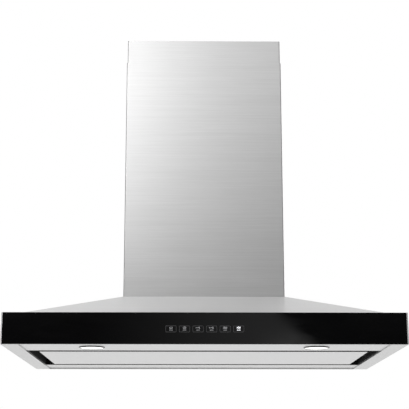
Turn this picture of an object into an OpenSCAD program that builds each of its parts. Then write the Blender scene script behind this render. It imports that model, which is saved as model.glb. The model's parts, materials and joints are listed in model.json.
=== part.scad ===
// Island range hood on a telescopic flue. A ceiling section carries four upper posts and the upper
// flue cover; the hood hangs from them on four lower posts and slides up and down for its height.
// Millimetres, +Z up, the glass front faces -Y. The origin is the centre of the ceiling plate's top
// face. Hood parts are drawn from the underside of the side rails (z = 0) and placed by in_hood().

/* [Installation] */
// Height from the underside of the hood to the ceiling, at the shortest setting
hood_drop = 764; // [755:1:780]
// How far the hood can be lowered on its posts
height_travel = 300; // [200:10:310]

/* [Canopy] */
// Width of the canopy, side to side
canopy_w = 900; // [890:5:940]
// Depth of the canopy, glass face to rear skirt
canopy_d = 600; // [595:5:620]
// Height of the vertical skirts
rim_h = 63; // [63:1:68]
// Rise of the sloping faces above the skirts
slope_h = 63; // [50:1:80]
// Thickness of the stainless sheet
skin = 1; // [0.8:0.1:1]

/* [Glass front] */
// Height of the glass fascia
glass_h = 70.5; // [69:0.5:74]
// Thickness of the glass
glass_t = 5; // [4:0.5:5]
// Width of the steel edge at each end of the glass
hem_w = 3; // [2:0.5:5]

/* [Flue] */
// Width of the lower flue cover
flue_w = 378; // [376:1:384]
// Depth of the lower flue cover
flue_d = 340; // [338:1:346]
// Length of the lower flue cover
lower_flue_len = 580; // [560:1:584]
// Length of the upper flue cover
upper_flue_len = 420; // [400:5:430]
// Gap between the two flue covers
flue_gap = 0.7; // [0.4:0.1:1]
// Outside radius of the vertical bends
bend_r = 2.5; // [2:0.5:4]

/* [Underside] */
// Width of each side rail
rail_w = 37; // [34:1:40]
// Height of the strips above the underside of the rails
strip_rise = 3; // [2:0.5:4]
// Depth of the front light strip, from the glass face
front_strip_d = 157; // [150:1:160]
// Depth of the rear strip, from the rear skirt
rear_strip_d = 87; // [80:1:95]
// Width of the intake slot all round the perimeter panel
slot_w = 25; // [24:1:30]
// Height of the perimeter panel's folded edge
panel_t = 10; // [9:1:10]
// Sideways distance of each panel hinge from the middle
hinge_x = 300; // [260:10:330]

/* [Lamps] */
// Sideways distance of each lamp from the middle
lamp_x = 256; // [240:1:262]
// Distance of the lamps behind the glass face
lamp_back = 90; // [80:1:100]
// Diameter of the lamp bezel
bezel_d = 59; // [58:1:70]
// Diameter of the visible lens
lens_d = 54; // [48:1:54]

/* [Keys] */
// Width of a key cap
key_w = 25; // [23:0.5:26]
// Height of a key cap
key_h = 15; // [14:0.5:18]
// Distance between key centres
key_pitch = 29.9; // [29.5:0.1:31]
// How far the row of keys sits below the middle of the glass
key_drop = 1.5; // [0:0.5:3]
// Gap round a key cap
key_gap = 0.3; // [0.2:0.05:0.4]

/* [Blower] */
// Outside radius of the scroll
scroll_r = 95; // [92:1:95]
// Outside radius of the fan wheel
wheel_r = 75; // [68:1:76]
// Number of fan blades
blades = 30; // [24:1:36]
// Outside diameter of the duct spigot
spigot_d = 148; // [145:1:148]

/* [Hidden] */
KEYS = ["key_power", "key_timer", "key_speed_down", "key_speed_up", "key_filter", "key_light"];

$fn = 64;
eps = 0.01;
cut = 2;

stainless = "silver";
zinc = "lightsteelblue";
black = "#202022";

half_w = canopy_w / 2;
half_d = canopy_d / 2;
wall_y = -half_d + glass_t;
base_h = rim_h + slope_h;
skin_v = 1.1 * skin;
ledge_w = 12;
window_w = 190;
window_h = 26;

rail_in = half_w - rail_w;
open_front = -half_d + front_strip_d;
open_rear = half_d - rear_strip_d;
open_mid = (open_front + open_rear) / 2;
strip_z = strip_rise + skin;
panel_w = 2 * (rail_in - slot_w);
panel_d = open_rear - open_front - 2 * slot_w;
panel_z = strip_rise + panel_t;
hinge_y = open_mid + panel_d / 2 - 4;
hinge_z = panel_z + 6;
hinge_pin_r = 2.5;
knuckle_half = 10;
knuckle_r = 4;
knuckle_foot = [14, 2];
ear_x = [10.3, 12.3];
ear_r = 5;
bracket_half = 20;
bracket_sheet = 1.4;
catch_half = 14;
catch_d = 42;
magnet_half = 12;
magnet_y = [30, 41];
magnet_gap = 0.3;
lip_z = panel_z + 12;
plate_z = rim_h - 3;
plate_t = 1.5;
floor_z = plate_z + plate_t;
chassis_y = [-185, 235];
strip_flange = 20;
front_flange = 15;
lamp_clear = 2;

filter_z = lip_z + skin;
filter_t = 9;
filter_bar = 12;
filter_front = open_front + skin + 15;
filter_rear = open_rear - skin - 2;
filter_d = filter_rear - filter_front;
filter_w = rail_in - skin - 4;
latch_w = 30;
latch_t = 2;
latch_gap = 0.3;
rib_half = 2;
keeper_half = 20;
keeper_h = 1.7;
tab_drop = 6;

cover_screw_y = 60;
cover_screw_r = 1.9;
cover_screw_len = 8;
upper_screw_drop = 12;
seat_screw_z = 10;
seat_h = 20;
seat_flange = 5;
seam_lap = 12;

post_leg = 20;
post_t = 2;
post_gap = 0.4;
post_bolt_in = 12;
post_bolt_r = 3;
clamp_in = 11;
clamp_len = 14;
clamp_head_r = 5;
clamp_head_h = 3.5;
upper_x = flue_w / 2 - 12;
upper_y = flue_d / 2 - 11;
lower_x = upper_x - post_t - post_gap;
lower_y = upper_y - post_t - post_gap;
clamp_z = [560, 590];
clamp_r = 3;
lower_post_top = 610;
upper_post_end = clamp_z[0] - height_travel - 20;
plate_half_w = flue_w / 2 - skin - flue_gap - skin;
plate_half_d = flue_d / 2 - skin - flue_gap - skin;
ceiling_t = 3;
ceiling_flange = 24;
duct_hole_r = 85;
cable_hole_r = 10;
cable_y = 122;
mount_x = 120;
mount_y = 100;
mount_r = 4.5;

key_mid = glass_h / 2 - key_drop;
key_flange = 1;
key_guide = 2;
key_throat = 11;
plunger_end = 14.2;
tray_half_w = 104;
tray_half_h = 17;
tray_back = 24;
flange_room = [93, 11];
board_half_w = 92;
board_half_h = 10.8;
board_y = 20;
board_t = 1.6;
switch_w = 6;
switch_h = 3.3;
bezel_z = 0.5;
bezel_wall = 1.8;
bezel_h = 12;
lens_dome = 1.2;
lens_fit = 0.1;
lens_r = lens_d / 2 - lens_fit;
lens_top = 4;
lamp_h = 28;
fin_pitch = 7;

power_x = [310, 405];
power_y = [-280, -205];
power_top = 46;
power_wall = 2;
power_hole_r = 8;

box_w = 290;
box_d = 250;
box_top = 330;
scroll_t = 1.2;
scroll_half = 63;
scroll_x = -scroll_r / 2;
scroll_z = floor_z + 12 + scroll_r;
axle_x = scroll_x - 4;
axle_z = scroll_z + 5;
wheel_half = 56;
rim_w = 11;
rim_t = 4;
blade_t = 1;
blade_tilt = 35;
hub_r = 12;
hub_y = [-16, 4];
disc_half = 1;
shaft_r = 4;
shaft_y = [-18, 39];
motor_boss_r = 14;
motor_boss_h = 3;
motor_r = 36;
motor_cap_r = 30;
motor_y = [10, 60, 74];
bracket_t = 3;
spigot_r = spigot_d / 2;
spigot_h = 55;
flap_z = box_top + 22;
flap_t = 1.2;
flap_pin_r = 2;
flap_knuckle = [4, 60];
fit = 0.05;

// ---- shared shapes ----
module in_hood() translate([0, 0, -hood_drop]) children();

module box(x, y, z) translate([x[0], y[0], z[0]]) cube([x[1] - x[0], y[1] - y[0], z[1] - z[0]]);

// Flat outline with round corners
module rounded(w, d, r) {
    square([w - 2 * r, d], center = true);
    square([w, d - 2 * r], center = true);
    for (sx = [-1, 1], sy = [-1, 1]) translate([sx * (w / 2 - r), sy * (d / 2 - r)]) circle(r);
}

// Rectangular tube with round vertical edges
module sleeve(w, d, h, t, r) difference() {
    linear_extrude(h) rounded(w, d, r);
    translate([0, 0, -cut]) linear_extrude(h + 2 * cut) rounded(w - 2 * t, d - 2 * t, r - t + 0.5);
}

// Front (-1) or rear (1) half of what it holds
module half_of(side) intersection() {
    children();
    translate([-half_w, side > 0 ? 0 : -half_d, -hood_drop]) cube([canopy_w, half_d, 2 * hood_drop]);
}

module rod_x(r, x0, x1) translate([x0, 0, 0]) rotate([0, 90, 0]) cylinder(r = r, h = x1 - x0);
module rod_y(r, y0, y1) translate([0, y0, 0]) rotate([-90, 0, 0]) cylinder(r = r, h = y1 - y0);

// Round-cornered block standing on the XZ plane, from y0 to y1
module tile(w, h, r, y0, y1) translate([0, y1, 0]) rotate([90, 0, 0]) linear_extrude(y1 - y0)
    rounded(w, h, r);

// ---- ceiling section ----
module ceiling_plate() color(zinc) difference() {
    linear_extrude(2 * ceiling_flange, center = true)
        rounded(2 * plate_half_w, 2 * plate_half_d, bend_r + 1);
    translate([0, 0, -ceiling_flange - cut]) linear_extrude(ceiling_flange + cut - ceiling_t)
        rounded(2 * (plate_half_w - plate_t), 2 * (plate_half_d - plate_t), bend_r);
    box([-half_w, half_w], [-half_d, half_d], [0, hood_drop]);
    translate([0, 0, -ceiling_t - cut]) {
        cylinder(r = duct_hole_r, h = ceiling_t + 2 * cut, $fn = 96);
        translate([0, cable_y, 0]) cylinder(r = cable_hole_r, h = ceiling_t + 2 * cut);
        for (sx = [-1, 1], sy = [-1, 1]) {
            translate([sx * mount_x, sy * mount_y, 0]) cylinder(r = mount_r, h = ceiling_t + 2 * cut);
            translate([sx * (upper_x - post_bolt_in), sy * (upper_y - post_bolt_in), 0])
                cylinder(r = post_bolt_r, h = ceiling_t + cut - 1);
        }
    }
    for (sx = [-1, 1], sy = [-1, 1]) translate([0, sy * cover_screw_y, -upper_screw_drop]) scale([sx, 1, 1])
        rod_x(cover_screw_r, plate_half_w - 2 * cut, plate_half_w + cut);
}

// Angle section with its outer corner at the origin, legs towards -X and -Y
module angle_bar(h) {
    translate([-post_leg, -post_t, 0]) cube([post_leg, post_t, h]);
    translate([-post_t, -post_leg, 0]) cube([post_t, post_leg, h]);
}

module upper_post(sx, sy) color(zinc) scale([sx, sy, 1]) difference() {
    translate([upper_x, upper_y, 0]) union() {
        translate([0, 0, upper_post_end - hood_drop]) angle_bar(hood_drop - upper_post_end - ceiling_t);
        translate([-post_leg, -post_leg, -ceiling_t - post_t]) cube([post_leg, post_leg, post_t]);
    }
    translate([upper_x - post_bolt_in, upper_y - post_bolt_in, -ceiling_t - post_t - cut])
        cylinder(r = post_bolt_r + 0.2, h = post_t + 2 * cut);
    translate([0, upper_y - clamp_in, -hood_drop]) clamp_slot();
}

// Slot that the clamp screws run in while the hood is raised or lowered
module clamp_slot() {
    slot_z = [clamp_z[0] - height_travel - 1, clamp_z[1] + 1];
    slot_r = clamp_r + 0.3;
    for (z = slot_z) translate([0, 0, z]) rod_x(slot_r, upper_x - cut - post_t, upper_x + cut);
    box([upper_x - cut - post_t, upper_x + cut], [-slot_r, slot_r], slot_z);
}

module upper_post_bolts() color(zinc) for (sx = [-1, 1], sy = [-1, 1])
    translate([sx * (upper_x - post_bolt_in), sy * (upper_y - post_bolt_in), -ceiling_t - post_t]) {
        translate([0, 0, -4]) cylinder(r = 5.5, h = 4, $fn = 6);
        translate([0, 0, -eps]) cylinder(r = post_bolt_r, h = post_t + 2);
    }

// Half sleeve whose two edges lap inside over the seam
module upper_flue(side) color(stainless) translate([0, 0, -upper_flue_len]) difference() {
    union() {
        half_of(side) sleeve(flue_w - 2 * (skin + flue_gap), flue_d - 2 * (skin + flue_gap), upper_flue_len,
                             skin, bend_r);
        for (sx = [-1, 1]) scale([sx, side, 1])
            box([plate_half_w - seam_lap, plate_half_w + eps], [0, skin],
                [0, upper_flue_len - ceiling_flange - cut]);
    }
    for (sx = [-1, 1]) translate([0, side * cover_screw_y, upper_flue_len - upper_screw_drop])
        scale([sx, 1, 1]) rod_x(cover_screw_r + 0.2, plate_half_w - cut, plate_half_w + 2 * cut);
}

module cover_screws(x, z) for (sx = [-1, 1], sy = [-1, 1])
    translate([sx * x, sy * cover_screw_y, z]) scale([sx, 1, 1]) {
        rod_x(3.5, 0, 2);
        rod_x(cover_screw_r, -cover_screw_len, eps);
    }

module upper_flue_screws() color(zinc) cover_screws(plate_half_w + skin, -upper_screw_drop);

// ---- lower posts and clamp screws ----
module lower_post(sx, sy) color(zinc) in_hood() scale([sx, sy, 1]) difference() {
    translate([lower_x, lower_y, 0]) union() {
        translate([0, 0, floor_z]) angle_bar(lower_post_top - floor_z);
        translate([-post_leg, -post_leg, floor_z]) cube([post_leg, post_leg, post_t]);
    }
    for (z = clamp_z) translate([0, upper_y - clamp_in, z])
        rod_x(clamp_r, lower_x - post_t - cut, lower_x + cut);
}

// Round head outside the upper post, shank through both posts, round nut inside the lower one
module post_clamp_screws() color(zinc) in_hood() for (sx = [-1, 1], sy = [-1, 1], z = clamp_z)
    translate([sx * (upper_x + 0.1), sy * (upper_y - clamp_in), z]) scale([sx, 1, 1]) {
        rod_x(clamp_head_r, 0, clamp_head_h);
        rod_x(clamp_r - fit, -clamp_len, eps);
        rod_x(clamp_head_r, -clamp_len, -post_gap - 2 * post_t - 0.1);
    }

// ---- lower flue cover ----
module lower_flue(side) color(stainless) in_hood() translate([0, 0, base_h]) difference() {
    half_of(side) sleeve(flue_w, flue_d, lower_flue_len, skin, bend_r);
    for (sx = [-1, 1]) translate([0, side * cover_screw_y, seat_screw_z]) scale([sx, 1, 1])
        rod_x(cover_screw_r + 0.2, flue_w / 2 - 2 * cut, flue_w / 2 + cut);
}

// Upstand that the lower cover slips over, on an inward flange
module flue_seat() color(zinc) in_hood() translate([0, 0, base_h]) difference() {
    union() {
        sleeve(flue_w - 2 * skin, flue_d - 2 * skin, seat_h, plate_t, bend_r);
        sleeve(flue_w - 2 * skin, flue_d - 2 * skin, plate_t, 2 * seat_flange, bend_r + 8);
    }
    for (sx = [-1, 1], sy = [-1, 1]) translate([0, sy * cover_screw_y, seat_screw_z]) scale([sx, 1, 1])
        rod_x(cover_screw_r, flue_w / 2 - 3 * cut, flue_w / 2 + cut);
}

module lower_flue_screws() color(zinc) in_hood() cover_screws(flue_w / 2, base_h + seat_screw_z);

// ---- canopy ----
// Solid under the four sloping faces
module slopes() intersection() {
    rotate([90, 0, 0]) linear_extrude(2 * canopy_d, center = true)
        polygon([[-half_w, rim_h], [half_w, rim_h], [flue_w / 2, base_h], [-flue_w / 2, base_h]]);
    rotate([90, 0, 90]) linear_extrude(2 * canopy_w, center = true)
        polygon([[wall_y, rim_h], [half_d, rim_h], [flue_d / 2, base_h], [-flue_d / 2, base_h]]);
}

// Room between the inner faces of the four skirts
module skirt_room(z0, z1) box([-half_w + skin, half_w - skin], [wall_y + skin, half_d - skin], [z0, z1]);

module canopy_shell() color(stainless) in_hood() difference() {
    union() {
        difference() {
            union() {
                slopes();
                box([-half_w, half_w], [wall_y, half_d], [0, rim_h]);
            }
            intersection() {
                translate([0, 0, -skin_v]) slopes();
                skirt_room(rim_h - skin_v, base_h);
            }
            skirt_room(-cut, rim_h - skin_v + eps);
            box([-flue_w / 2 + ledge_w, flue_w / 2 - ledge_w], [-flue_d / 2 + ledge_w, flue_d / 2 - ledge_w],
                [rim_h, base_h + cut]);
        }
        for (s = [-1, 1]) scale([s, 1, 1])
            box([half_w - hem_w, half_w], [-half_d, wall_y + eps], [0, glass_h]);
    }
    box([-window_w / 2, window_w / 2], [wall_y - cut, wall_y + 2 * cut],
        [key_mid - window_h / 2, key_mid + window_h / 2]);
}

module chassis_plate() color(zinc) in_hood() difference() {
    box([-half_w + skin, half_w - skin], chassis_y, [plate_z, floor_z]);
    box([-box_w / 2 + ledge_w, box_w / 2 - ledge_w], [-box_d / 2 + ledge_w, box_d / 2 - ledge_w],
        [plate_z - cut, floor_z + cut]);
}

module side_rail(side) color(stainless) in_hood() scale([side, 1, 1]) union() {
    box([rail_in, half_w - skin], [wall_y + skin, half_d - skin], [0, skin]);
    box([rail_in, rail_in + skin], [wall_y + skin, half_d - skin], [0, lip_z]);
    box([half_w - 2 * skin, half_w - skin], [wall_y + skin, half_d - skin], [0, strip_flange]);
}

module front_strip() color(stainless) in_hood() difference() {
    union() {
        box([-rail_in, rail_in], [wall_y + skin, open_front], [strip_rise, strip_z]);
        box([-rail_in, rail_in], [open_front - skin, open_front], [strip_rise, lip_z]);
        box([-rail_in, rail_in], [wall_y + skin, wall_y + 2 * skin], [strip_rise, front_flange]);
    }
    for (s = [-1, 1]) lamp_place(s) cylinder(r = lens_d / 2 + lamp_clear, h = strip_z + cut);
}

module rear_strip() color(stainless) in_hood() union() {
    box([-rail_in, rail_in], [open_rear, half_d - skin], [strip_rise, strip_z]);
    box([-rail_in, rail_in], [open_rear, open_rear + skin], [strip_rise, lip_z]);
    box([-rail_in, rail_in], [half_d - 2 * skin, half_d - skin], [strip_rise, strip_flange]);
}

module suction_liner() color(black) in_hood() {
    difference() {
        box([-rail_in, rail_in], [open_front, open_rear], [strip_z, plate_z]);
        box([-rail_in + skin, rail_in - skin], [open_front + skin, open_rear - skin], [0, plate_z + cut]);
    }
    box([-rail_in, rail_in], [open_front, open_front + ledge_w + skin], [lip_z, filter_z]);
    box([-rail_in, rail_in], [open_rear - ledge_w - skin, open_rear], [lip_z, filter_z]);
    box([-rib_half, rib_half], [open_front, open_rear], [lip_z, filter_z]);
    for (s = [-1, 1]) translate([s * (3 + filter_w / 2), open_front, filter_z - eps])
        box([-keeper_half, keeper_half], [0, ledge_w + skin], [0, keeper_h]);
}

// ---- glass front, keys and electronics ----
function key_x(i) = (i - 2.5) * key_pitch;

module glass_panel() color("black") in_hood() difference() {
    box([-half_w + hem_w + 0.2, half_w - hem_w - 0.2], [-half_d, -half_d + glass_t], [0, glass_h]);
    for (i = [0:5]) translate([key_x(i), -half_d, key_mid])
        tile(key_w + 2 * key_gap, key_h + 2 * key_gap, 2.8, -cut, glass_t + cut);
}

// Open-backed tray that guides the keys; each key's flange stops against the back of the glass
module key_housing() color(black) in_hood() translate([0, -half_d, key_mid]) difference() {
    box([-tray_half_w, tray_half_w], [glass_t + skin, tray_back], [-tray_half_h, tray_half_h]);
    box([-flange_room[0], flange_room[0]], [glass_t, glass_t + key_guide + 0.2],
        [-flange_room[1], flange_room[1]]);
    box([-flange_room[0] + 3, flange_room[0] - 3], [glass_t + 2 * key_guide + 0.2, tray_back],
        [-flange_room[1] + 1.5, flange_room[1] - 1.5]);
    box([-board_half_w - 0.2, board_half_w + 0.2], [board_y, tray_back + cut],
        [-flange_room[1], flange_room[1]]);
    for (i = [0:5]) translate([key_x(i), 0, 0])
        tile(key_w - 2 * key_guide + 0.6, key_h - 2 * key_guide + 0.6, 1.3, glass_t, key_throat + 1);
}

module control_board() color("darkgreen") in_hood() translate([0, -half_d, key_mid]) {
    box([-board_half_w, board_half_w], [board_y, board_y + board_t], [-board_half_h, board_half_h]);
    for (i = [0:5]) translate([key_x(i), 0, 0]) {
        translate([0, board_y - switch_h / 2 + fit, 0]) cube([switch_w, switch_h, switch_w], center = true);
        rod_y(1.7, plunger_end + 1.1, board_y - switch_h + 0.3);
    }
}

// Key cap, flange behind the glass and a plunger to the switch
module key(i) color("#2b2b2e") in_hood() translate([key_x(i), -half_d, key_mid]) {
    flange_y = glass_t + 0.1;
    tile(key_w, key_h, 2.5, 0, flange_y);
    tile(key_w + 2, key_h + 2, 2.5, flange_y, flange_y + key_flange);
    tile(key_w - 2 * key_guide, key_h - 2 * key_guide, 1, flange_y + key_flange - 0.1, key_throat);
    rod_y(2.5, key_throat - eps, plunger_end);
}

module power_box() color(black) in_hood() difference() {
    box(power_x, power_y, [strip_z, power_top]);
    box([power_x[0] + power_wall, power_x[1] - power_wall], [power_y[0] + power_wall, power_y[1] - power_wall],
        [strip_z + power_wall, power_top - power_wall]);
    translate([0, (power_y[0] + power_y[1]) / 2, (power_top + strip_z) / 2])
        rod_x(power_hole_r, power_x[1] - 2 * power_wall, power_x[1] + cut);
}

// ---- lamps ----
module lamp_place(s) translate([s * lamp_x, -half_d + lamp_back, 0]) children();

// Flat ring under the strip with a tube that holds the lens and the lamp
module lamp_bezel(s) color(stainless) in_hood() lamp_place(s) difference() {
    union() {
        translate([0, 0, bezel_z]) cylinder(r = bezel_d / 2, h = strip_rise - bezel_z);
        translate([0, 0, bezel_z]) cylinder(r = lens_d / 2 + bezel_wall, h = bezel_h);
    }
    translate([0, 0, -cut]) cylinder(r = lens_d / 2, h = bezel_h + 4 * cut);
}

// Shallow dome, lowest in the middle
module lamp_lens(s) color("white") in_hood() lamp_place(s) rotate_extrude() polygon([
    for (i = [0:6]) [lens_r * i / 6, bezel_z + 0.1 + lens_dome * (1 - cos(15 * i))],
    [lens_r, lens_top], [0, lens_top]]);

// Round lamp with cooling fins on its back
module lamp_bodies() color("gray") in_hood() for (s = [-1, 1]) lamp_place(s) difference() {
    union() {
        translate([0, 0, lens_top]) cylinder(r = lens_r, h = bezel_h);
        translate([0, 0, lens_top]) cylinder(r = lens_r - 3, h = lamp_h);
    }
    for (i = [-3:3]) translate([i * fin_pitch - 2, -lens_d, lens_top + bezel_h + 4])
        cube([4, 2 * lens_d, lamp_h]);
}

// ---- grease filters ----
module filter_place(s) scale([s, 1, 1]) translate([3, filter_front, filter_z]) children();

module filter_frame(s) color("silver") in_hood() filter_place(s) difference() {
    cube([filter_w, filter_d, filter_t]);
    translate([filter_bar, filter_bar, -cut])
        cube([filter_w - 2 * filter_bar, filter_d - 2 * filter_bar, filter_t + 2 * cut]);
    translate([filter_w / 2 - latch_w / 2 - latch_gap, -cut, keeper_h])
        cube([latch_w + 2 * latch_gap, filter_bar + 2 * cut, latch_t + 2 * latch_gap]);
}

module filter_mesh(s) color("lightgray") in_hood() filter_place(s) difference() {
    translate([filter_bar, filter_bar, 1]) cube([filter_w - 2 * filter_bar, filter_d - 2 * filter_bar, 7]);
    translate([filter_w / 2 - latch_w / 2 - 2, 0, -cut]) cube([latch_w + 4, filter_bar + 14, 20]);
}

// Tongue that rests over the liner's keeper, with a finger tab hanging below
module filter_latch(s) color("silver") in_hood() filter_place(s)
    translate([filter_w / 2 - latch_w / 2, 0, 0]) {
        translate([0, -9, keeper_h + latch_gap]) cube([latch_w, filter_bar + 13, latch_t]);
        translate([4, filter_bar + 2, -tab_drop])
            cube([latch_w - 8, latch_t, tab_drop + keeper_h + latch_gap + eps]);
    }

// ---- perimeter panel ----
module panel_skin() color(stainless) in_hood() translate([0, open_mid, strip_rise]) difference() {
    linear_extrude(panel_t) rounded(panel_w, panel_d, 2.5);
    translate([0, 0, skin]) linear_extrude(panel_t) rounded(panel_w - 2 * skin, panel_d - 2 * skin, 1.5);
}

module panel_back() color(zinc) in_hood() difference() {
    union() {
        box([-panel_w / 2 + 1.5, panel_w / 2 - 1.5],
            [open_mid - panel_d / 2 + 1.5, open_mid + panel_d / 2 - 1.5],
            [panel_z - skin, panel_z]);
        for (s = [-1, 1]) {
            box([s * hinge_x - knuckle_half, s * hinge_x + knuckle_half],
                [hinge_y - knuckle_foot[0], hinge_y - knuckle_foot[1]], [panel_z - eps, hinge_z]);
            translate([s * hinge_x, hinge_y, hinge_z]) rod_x(knuckle_r, -knuckle_half, knuckle_half);
        }
    }
    for (s = [-1, 1]) translate([s * hinge_x, hinge_y, hinge_z])
        rod_x(hinge_pin_r + fit, -knuckle_half - cut, knuckle_half + cut);
}

module hinge_brackets() color(zinc) in_hood() for (s = [-1, 1]) translate([s * hinge_x, 0, 0]) {
    box([-bracket_half, bracket_half], [hinge_y - 8, open_rear - skin], [lip_z - bracket_sheet, lip_z]);
    for (t = [-1, 1]) scale([t, 1, 1]) {
        box(ear_x, [hinge_y - ear_r, hinge_y + ear_r], [hinge_z, lip_z - bracket_sheet + eps]);
        translate([0, hinge_y, hinge_z]) rod_x(ear_r, ear_x[0], ear_x[1]);
    }
    translate([0, hinge_y, hinge_z]) rod_x(hinge_pin_r, -ear_x[1] - 1.2, ear_x[1] + 1.2);
}

module panel_catches() color(zinc) in_hood() for (s = [-1, 1])
    translate([s * hinge_x, open_front + skin, 0]) {
        box([-catch_half, catch_half], [0, catch_d], [lip_z - bracket_sheet, lip_z]);
        box([-magnet_half, magnet_half], magnet_y, [panel_z + magnet_gap, lip_z - bracket_sheet + eps]);
    }

// ---- blower ----
module blower_box() color(zinc) in_hood() difference() {
    union() {
        box([-box_w / 2, box_w / 2], [-box_d / 2, box_d / 2], [floor_z, box_top]);
        box([-box_w / 2 - 8, box_w / 2 + 8], [-box_d / 2 - 8, box_d / 2 + 8], [floor_z, floor_z + 1]);
    }
    box([-box_w / 2 + 1, box_w / 2 - 1], [-box_d / 2 + 1, box_d / 2 - 1], [floor_z - cut, box_top - 1]);
    box([-scroll_r / 2, scroll_r / 2], [-scroll_half, scroll_half], [box_top - cut, box_top + cut]);
}

// Spiral outline as a drum with a straight throat going up, t inside the outer face
module spiral(t) {
    translate([scroll_x, 0, scroll_z]) rod_y(scroll_r - t, -scroll_half + t, scroll_half - t);
    box([-scroll_r / 2 + t, scroll_r / 2 - t], [-scroll_half + t, scroll_half - t],
        [scroll_z, t > 0 ? box_top : box_top - 1]);
}

module scroll_housing() color(zinc) in_hood() difference() {
    union() {
        difference() {
            spiral(0);
            spiral(scroll_t);
        }
        for (s = [-1, 1]) scale([1, s, 1]) translate([axle_x, 0, axle_z])
            rod_y(wheel_r - rim_w, wheel_half + 2, scroll_half - 0.5);
    }
    translate([axle_x, 0, axle_z]) rod_y(wheel_r - rim_w - scroll_t, -scroll_half - cut, scroll_half + cut);
}

module motor() color("dimgray") in_hood() translate([axle_x, 0, axle_z]) difference() {
    union() {
        rod_y(motor_r, motor_y[0], motor_y[1]);
        rod_y(motor_cap_r, motor_y[1] - eps, motor_y[2]);
        rod_y(motor_boss_r, motor_y[0] - motor_boss_h, motor_y[0] + eps);
    }
    rod_y(shaft_r + fit, 0, shaft_y[1] + 1);
}

// Ring round the motor with three arms to the rear wall of the scroll
module motor_bracket() color(zinc) in_hood() translate([axle_x, 0, axle_z]) difference() {
    union() {
        rod_y(motor_r + 2, scroll_half, scroll_half + bracket_t);
        for (a = [90, 210, 330]) rotate([0, a, 0])
            box([motor_cap_r, wheel_r - 2], [scroll_half, scroll_half + bracket_t], [-7, 7]);
    }
    rod_y(motor_cap_r + fit, 0, 80);
}

module motor_shaft() color("silver") in_hood() translate([axle_x, 0, axle_z])
    rod_y(shaft_r, shaft_y[0], shaft_y[1]);

module fan_blade(i, grow) rotate([0, i * 360 / blades, 0]) translate([wheel_r - rim_w / 2, 0, 0])
    rotate([0, blade_tilt, 0])
        cube([rim_w - 2 + 2 * grow, 2 * (wheel_half - rim_t - fit), blade_t + 2 * grow], center = true);

// Double-inlet wheel: middle disc with its hub, notched to take the blades, and a rim at each end
module fan_wheel() color("gray") in_hood() translate([axle_x, 0, axle_z]) {
    difference() {
        union() {
            rod_y(wheel_r - 5, -disc_half, disc_half);
            rod_y(hub_r, hub_y[0], hub_y[1]);
        }
        rod_y(shaft_r, hub_y[0] - cut, hub_y[1] + cut);
        for (i = [0:blades - 1]) fan_blade(i, fit);
    }
    for (s = [-1, 1]) scale([1, s, 1]) difference() {
        rod_y(wheel_r, wheel_half - rim_t, wheel_half);
        rod_y(wheel_r - rim_w, 0, wheel_half + cut);
    }
    for (i = [0:blades - 1]) fan_blade(i, 0);
}

module outlet_collar() color(zinc) in_hood() difference() {
    union() {
        box([-spigot_r - 8, spigot_r + 8], [-spigot_r - 6, spigot_r + 6], [box_top, box_top + plate_t]);
        translate([0, 0, box_top]) cylinder(r = spigot_r, h = spigot_h, $fn = 96);
    }
    translate([0, 0, box_top - cut]) cylinder(r = spigot_r - 1, h = spigot_h + 3 * cut, $fn = 96);
    translate([0, 0, flap_z]) rod_y(flap_pin_r, -spigot_r - cut, spigot_r + cut);
}

module damper_pin() color("silver") in_hood() translate([0, 0, flap_z])
    rod_y(flap_pin_r, -spigot_r, spigot_r);

// Half disc that lifts about the middle pin; its knuckle takes one half of the pin
module damper_flap(s) color("gray") in_hood() translate([0, 0, flap_z]) scale([s, s, 1]) difference() {
    union() {
        intersection() {
            translate([0, 0, -flap_t / 2]) cylinder(r = spigot_r - 2, h = flap_t, $fn = 96);
            box([0.5, spigot_r], [-spigot_r, spigot_r], [-cut, cut]);
        }
        rod_y(flap_knuckle[0], flap_knuckle[0], flap_knuckle[1]);
    }
    rod_y(flap_knuckle[0] + 1, -flap_knuckle[1] - cut, cut);
    rod_y(flap_pin_r + fit, -spigot_r, spigot_r);
    box([-cut, 4], [2 - eps, 4], [-cut, cut]);
    for (y = [[flap_knuckle[1], spigot_r], [-spigot_r, -flap_knuckle[1]]]) box([-cut, 4.5], y, [-cut, cut]);
}

ceiling_plate();
upper_post(-1, -1);  // upper_post_front_left
upper_post(1, -1);  // upper_post_front_right
upper_post(-1, 1);  // upper_post_rear_left
upper_post(1, 1);  // upper_post_rear_right
upper_post_bolts();
upper_flue(-1);  // upper_flue_front
upper_flue(1);  // upper_flue_rear
upper_flue_screws();
lower_post(-1, -1);  // lower_post_front_left
lower_post(1, -1);  // lower_post_front_right
lower_post(-1, 1);  // lower_post_rear_left
lower_post(1, 1);  // lower_post_rear_right
post_clamp_screws();
lower_flue(-1);  // lower_flue_front
lower_flue(1);  // lower_flue_rear
lower_flue_screws();
flue_seat();
canopy_shell();
chassis_plate();
side_rail(-1);  // side_rail_left
side_rail(1);  // side_rail_right
front_strip();
rear_strip();
suction_liner();
glass_panel();
key_housing();
control_board();
power_box();
lamp_bezel(-1);  // lamp_bezel_left
lamp_bezel(1);  // lamp_bezel_right
lamp_lens(-1);  // lamp_lens_left
lamp_lens(1);  // lamp_lens_right
lamp_bodies();
filter_frame(-1);  // filter_frame_left
filter_frame(1);  // filter_frame_right
filter_mesh(-1);  // filter_mesh_left
filter_mesh(1);  // filter_mesh_right
filter_latch(-1);  // filter_latch_left
filter_latch(1);  // filter_latch_right
hinge_brackets();
panel_catches();
panel_skin();
panel_back();
blower_box();
scroll_housing();
motor();
motor_bracket();
motor_shaft();
fan_wheel();
outlet_collar();
damper_pin();
damper_flap(-1);  // damper_flap_left
damper_flap(1);  // damper_flap_right
for (i = [0:5]) key(i);
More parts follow.
